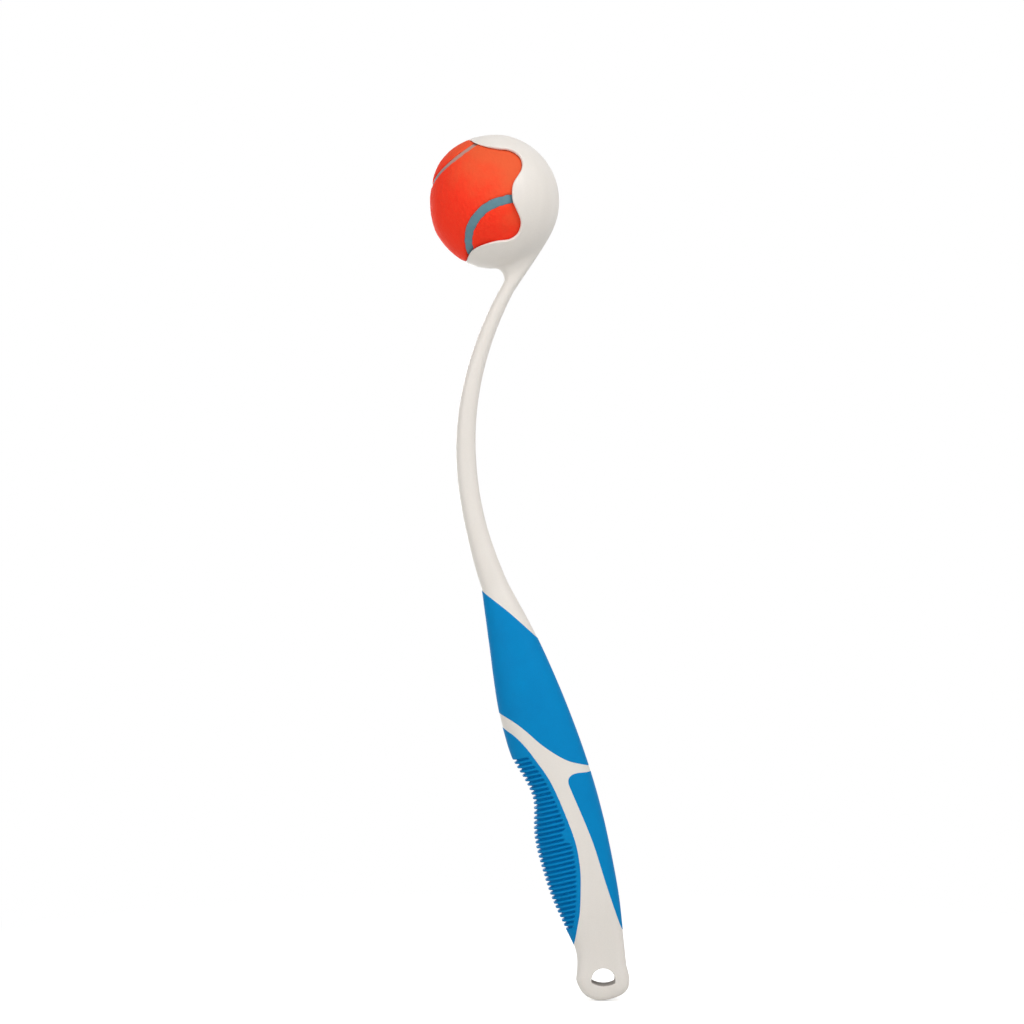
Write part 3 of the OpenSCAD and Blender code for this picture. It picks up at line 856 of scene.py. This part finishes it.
home_run, home_turn = np.clip(finger_run, *finger_home), np.full_like(finger_run, np.pi)
finger_pad = drape("finger_pad", pad_strips(finger_run, finger_turn, home_run, home_turn, 40, grooves))
print(measured(finger_pad))

# %% Palm pad
palm_home = (-42, 16)


def plain(points):
    """No grooves."""
    return np.zeros(points.shape[:-1])


home_run, home_turn = np.clip(palm_run, *palm_home), np.where(palm_turn > np.pi, 2 * np.pi, 0.0)
palm_pad = drape("palm_pad", pad_strips(palm_run, palm_turn, home_run, home_turn, 22, plain))
print(measured(palm_pad))

# %% [markdown]
# ### The upper sleeve
# The sleeve goes all the way round the handle. Both its ends are slanted lines on the side view, so each strip
# first finds where those lines cross it.

# %% Sleeve
sleeve_n, sleeve_mid = 150, 85.0
turn = even_turns(sleeve_mid, sleeve_n)


def slanted_end(line, start):
    """The run at which each strip of the sleeve meets a slanted line."""
    order = np.argsort(line[:, 0])
    run = np.full(sleeve_n, start)
    for _ in range(40):  # each round brings every strip closer to the line
        v, u = on_handle(skin(run, turn)[0])
        run = run + 0.7 * (np.interp(v, line[order, 0], line[order, 1]) - u)
    return run


low, high = slanted_end(sleeve_low, 50.0), slanted_end(sleeve_top, 120.0)


def sleeve_skin(s):
    """The moulding under these shares of the way from the sleeve's low end to its top."""
    run = low[:, None] + (high - low)[:, None] * s
    return skin(run, np.broadcast_to(turn[:, None], run.shape))


path = sleeve_skin(strip_share)[0]
length = path_length(path)
low_edge, low_inset = edge_strip(*skin(low, turn), path[:, 3] - path[:, 0])
high_edge, high_inset = edge_strip(*skin(high, turn), path[:, -4] - path[:, -1])
want = low_inset[:, None] + (length[:, -1] - low_inset - high_inset)[:, None] * np.linspace(0, 1, 60)
top, top_out = sleeve_skin(shares_at(want, length))
under, under_out = sleeve_skin(np.linspace(0.94, 0.06, 8))
rows = [low_edge, top + top_out * proud, high_edge[:, ::-1], under - under_out * pad_sunk, low_edge[:, :1]]
sleeve = drape("grip_sleeve_pad", np.concatenate(rows, 1))
print(measured(sleeve))

# %% [markdown]
# ### Soft rubber
# The pads are a thermoplastic rubber, moulded against a finely blasted tool. It looks matt: a broad, weak
# highlight, a slightly mottled blue and a fine even grain that breaks up reflections.

# %% Overmoulded soft rubber
rubber, tree, shader, place = new_finish("overmoulded_soft_rubber")
# The mottle has patches of about 14 mm
mottle = add_node(tree, "TexNoise", {"Vector": place, "Scale": 1000 / 14, "Detail": 4.0, "Roughness": 0.6})
# The blasted grain is about 0.15 mm and is drawn at 0.5 mm, so that it shows
grain = add_node(tree, "TexNoise", {"Vector": place, "Scale": 1000 / 0.5, "Detail": 2.0, "Roughness": 0.65})
tint = add_node(tree, "Mix", {0: mottle, 6: linear("#007FBF"), 7: linear("#008DCC")}, **COLOUR)
tint = flecked(tree, tint, grain, 0.92)
gloss = add_node(tree, "MapRange", {0: mottle, 1: 0.3, 2: 0.7, 3: 0.5, 4: 0.64})
bump = add_node(tree, "Bump", {"Height": grain, "Strength": 0.35, "Distance": 0.05 * MM})
feed(tree, shader, {
    "Base Color": tint, "Roughness": gloss, "Normal": bump, "IOR": 1.5,
    "Specular IOR Level": 0.08,
})
for piece, node in ((finger_pad, "finger_grip"), (palm_pad, "palm_grip"), (sleeve, "grip_sleeve")):
    dress(piece, rubber)
    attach(piece, "launcher")
    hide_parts(node)
print("three pads in", rubber.name)

# %% [markdown]
# ## The ball
# A felt ball of tennis-ball size: two dumbbell-shaped pieces of felt are glued round a hollow rubber core, and the
# line between them is filled with rubber. The seam is one closed wave on the ball. Each felt piece spans it in
# rows of great-circle arcs, from the end of one lobe, through the waist, to the end of the other.

# %% The seam line on the ball
from mathutils import Euler

ball_r, seam_a, seam_b = 33.0, 0.76, 0.24
ball_turn = np.array(Euler([math.radians(a) for a in (33.5, -76.6, 28.7)], "XYZ").to_matrix())


def seam_at(t, side):
    """Directions to the seam line at angle t, moved side mm across it."""
    h = 2 * math.sqrt(seam_a * seam_b)
    c, s, c3, s3 = np.cos(t), np.sin(t), np.cos(3 * t), np.sin(3 * t)
    point = np.stack([seam_a * c + seam_b * c3, seam_a * s - seam_b * s3, h * np.sin(2 * t)], -1)
    along = np.stack([-seam_a * s - 3 * seam_b * s3, seam_a * c - 3 * seam_b * c3, 2 * h * np.cos(2 * t)], -1)
    return unit(point + np.expand_dims(np.asarray(side) / ball_r, -1) * unit(np.cross(point, along)))


whole = np.radians(np.arange(0, 360, 0.5))
walk = seam_at(whole, 0.0)
print("seam, mm long:", round(np.linalg.norm(walk - np.roll(walk, 1, 0), axis=1).sum() * ball_r, 1))

# %% Edges and swelling of the felt
# Half the width of the seam, in mm, by degrees along it
half_seam = np.array([
    (0, 1.5), (18, 1.7), (40, 1.7), (60, 1.4), (76, 1.6), (100, 2), (180, 2), (195, 2.1), (215, 2.35),
    (235, 2.4), (250, 2.2), (270, 2), (345, 2), (360, 1.5),
])
# How far the felt stands off a true ball where the lips squeeze it out, by degrees round the cup's middle
puff = np.array([
    (92, 0), (103, 1.1), (110, 1.35), (120, 1.4), (130, 1.4), (145, 1.1), (155, 0.5), (165, -0.35), (185, -0.4),
    (197, 0), (207, 0.6), (220, 0.8), (232, 1.15), (242, 1.5), (249, 1.25), (262, 0),
])
puff_edge = (-0.2, 1.1)


def felt_edge(t, side):
    """How far the felt's edge lies from the seam line at angle t, with the small waves of a cut edge."""
    wave = 0.1 * np.sin(19 * t + side) + 0.09 * np.sin(43 * t + 2 * side) + 0.07 * np.sin(71 * t + 4 * side)
    return np.interp(np.degrees(t) % 360, *half_seam.T) + wave


def puffed(directions):
    """The puff of the felt in these directions of the ball: none under the cup's wall, all of it in the mouth."""
    points = directions @ ball_turn.T * ball_r
    x, z = points[..., 0], points[..., 2]
    swell = np.interp(np.degrees(np.arctan2(z, x)) % 360, *puff.T) * (np.hypot(x, z) / ball_r) ** 4
    gap = nearest(np.stack([x, z], -1), rim * cup_r)
    open_side = x < np.interp(z, rim[:, 1] * cup_r, rim[:, 0] * cup_r)
    return swell * np.where(open_side, ramp(gap, *puff_edge), 0)


print("felt swells by up to", puff[:, 1].max(), "mm, seam is up to", 2 * half_seam[:, 1].max(), "mm wide")

# %% Felt panels
felt_drop, felt_round, felt_t = 0.9, 1.4, 2.9


def in_cup(points):
    """Points about the ball's middle, turned and put in the cup."""
    return points @ ball_turn.T + cup_mid


def felt_panel(name, shift, side):
    """One felt piece: rows of arcs between the two sides of the seam, with rolled edges and a closed underside."""
    t = np.radians(np.linspace(45, 225, 400)) + shift
    back = np.pi / 2 - t + 2 * shift
    one, two, border = (seam_at(at, side * felt_edge(at, side)) for at in (t, back, whole))
    angle = np.arccos(np.clip((one * two).sum(1), -1, 1))[:, None, None].clip(1e-6)
    s = (0.5 - 0.5 * np.cos(np.linspace(0, np.pi, 92)))[None, :, None]
    arcs = unit((np.sin((1 - s) * angle) * one[:, None] + np.sin(s * angle) * two[:, None]) / np.sin(angle))
    inset = np.clip(nearest(arcs, border) * ball_r / felt_round, 0, 1)
    rolled = felt_drop * (1 - np.sqrt(1 - (1 - inset) ** 2))
    top = arcs * (ball_r - rolled + puffed(arcs))[..., None]
    under = arcs[:, ::-8] * (ball_r - felt_t)
    return drape(name, in_cup(np.concatenate([top, under, top[:, :1]], 1)), closed=False)


felt_low = felt_panel("felt_panel_lower", 0.0, -1)
felt_up = felt_panel("felt_panel_upper", np.pi / 2, 1)
print(measured(felt_low), measured(felt_up))

# %% Nap of the felt
nap = bpy.data.textures.new("felt_nap", "CLOUDS")
nap.noise_scale, nap.noise_depth = 1.6 * MM, 2
for piece in (felt_low, felt_up):
    pick(piece)
    lift = piece.modifiers.new("nap", "DISPLACE")
    lift.texture, lift.texture_coords, lift.strength, lift.mid_level = nap, "LOCAL", 0.3 * MM, 0.5
    bpy.ops.object.modifier_apply(modifier=lift.name)
    print(measured(piece))

# %% Seam band
# Places across the band, in mm where the seam is 4 mm wide, and how far each lies above the ball's skin
spots = np.array([-2.8, -2.5, -2.1, -1.6, -0.8, 0, 0.8, 1.6, 2.1, 2.5, 2.8])
crown = np.array([-1.5, -1.0, -0.72, -0.6, -0.52, -0.5, -0.52, -0.6, -0.72, -1.0, -1.5])
t = np.radians(np.linspace(0, 360, 480, endpoint=False))
width = np.interp(np.degrees(t), *half_seam.T)[:, None] / 2
band = seam_at(t[:, None] + 0 * spots, spots * width)
base = band[:, ::-2] * (ball_r - felt_t)
band = band * (ball_r + crown + puffed(band))[..., None]
seam_band = drape("ball_seam_band", in_cup(np.concatenate([band, base, band[:, :1]], 1)))
print(measured(seam_band))

# %% [markdown]
# ### Felt, seam and core rubber
# The felt is needled wool and nylon with a brushed nap: almost no gloss, short fibres that lie every way, and a
# pale bloom where the light grazes it. The seam is rubber that was cured in place, matt and a little uneven. The
# core is plain dark rubber, and shows only where a panel would be missing.

# %% Napped felt
felt, tree, shader, place = new_finish("napped_felt")
# Fibres are 0.02 mm thick and are drawn as wisps of 0.5 mm that lie two ways, so that they show
wisps = []
for turned, drawn_out in (((0.4, 0.3, 0.9), (1, 1, 0.15)), ((1.2, -0.5, 0.2), (0.15, 1, 1))):
    lie = add_node(tree, "Mapping", {"Vector": place, "Rotation": turned, "Scale": drawn_out})
    wisp = {"Vector": lie, "Scale": 1000 / 0.5, "Detail": 2.0, "Roughness": 0.6}
    wisps.append(add_node(tree, "TexNoise", wisp))
both = add_node(tree, "Math", {0: wisps[0], 1: wisps[1]}, operation="ADD")
level = add_node(tree, "MapRange", {0: both, 1: 0.7, 2: 1.3})
tint = add_node(tree, "Mix", {0: level, 6: linear("#FF2F16"), 7: linear("#FF3E20")}, **COLOUR)
# Painted light: the felt is painted paler and more orange towards its upper side, where the light falls, with an
# edge that wanders in clouds of about 11 mm
lit_side = (0.55, -0.35, 0.76)
cloud = add_node(tree, "TexNoise", {"Vector": place, "Scale": 1000 / 11, "Detail": 3.0})
from_mid = add_node(tree, "VectorMath", {0: place, 1: tuple(cup_mid * MM)}, operation="SUBTRACT")
lay = add_node(tree, "VectorMath", {0: from_mid, 1: lit_side}, out="Value", operation="DOT_PRODUCT")
uneven = add_node(tree, "MapRange", {0: cloud, 1: 0.35, 2: 0.65, 3: -4 * MM, 4: 4 * MM})
lay = add_node(tree, "Math", {0: lay, 1: uneven}, operation="ADD")
# Painted light: how much of the paler colour of the lit side is painted here
tips = add_node(tree, "MapRange", {0: lay, 1: -4 * MM, 2: 30 * MM}, interpolation_type="SMOOTHSTEP")
tint = add_node(tree, "Mix", {0: tips, 6: tint, 7: linear("#E85C32")}, **COLOUR)
bump = add_node(tree, "Bump", {"Height": level, "Strength": 0.6, "Distance": 0.15 * MM})
feed(tree, shader, {
    "Base Color": tint, "Normal": bump, "Roughness": 0.75, "Specular IOR Level": 0.2,
    "Sheen Weight": 0.15, "Sheen Roughness": 0.4, "Sheen Tint": linear("#FF8A60"),
})
print(felt.name, "has", len(tree.nodes), "nodes")

# %% Seam rubber and core rubber
made = {}
for name, dark, pale, rough in (
    ("cured_seam_rubber", "#487482", "#68909C", 0.62), ("moulded_core_rubber", "#262628", "#323234", 0.65),
):
    made[name], tree, shader, place = new_finish(name)
    # Cured and moulded rubber is uneven over about 3 mm
    uneven = add_node(tree, "TexNoise", {"Vector": place, "Scale": 1000 / 3, "Detail": 4.0, "Roughness": 0.65})
    tint = add_node(tree, "Mix", {0: uneven, 6: linear(dark), 7: linear(pale)}, **COLOUR)
    if name == "cured_seam_rubber":
        # Fibres of the felt have worked their way onto the seam where it runs under the upper lip
        high = add_node(tree, "SeparateXYZ", {0: place}, out="Z")
        fibres = add_node(tree, "MapRange", {0: high, 1: 338 * MM, 2: 350 * MM, 3: 0.0, 4: 0.7})
        worn = {0: fibres, 6: tint, 7: linear("#CC8A74")}
        tint = add_node(tree, "Mix", worn, **COLOUR)
    gloss = add_node(tree, "MapRange", {0: uneven, 1: 0.3, 2: 0.7, 3: rough - 0.08, 4: rough + 0.1})
    bump = add_node(tree, "Bump", {"Height": uneven, "Strength": 0.5, "Distance": 0.1 * MM})
    feed(tree, shader, {
        "Base Color": tint, "Roughness": gloss, "Normal": bump, "IOR": 1.52,
    })
print(list(made))

# %% The ball's parts take their places
for piece, finish, node, slot in (
    (felt_low, felt, "ball_felt_lower", "orange_felt"),
    (felt_up, felt, "ball_felt_upper", "orange_felt"),
    (seam_band, made["cured_seam_rubber"], "ball_seam", "seam_rubber"),
):
    dress(piece, finish)
    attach(piece, "ball")
    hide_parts(node)
for node in ("ball_core_front", "ball_core_rear"):
    dress(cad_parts[node], made["moulded_core_rubber"])
print("felt, seam and core ride on the ball")
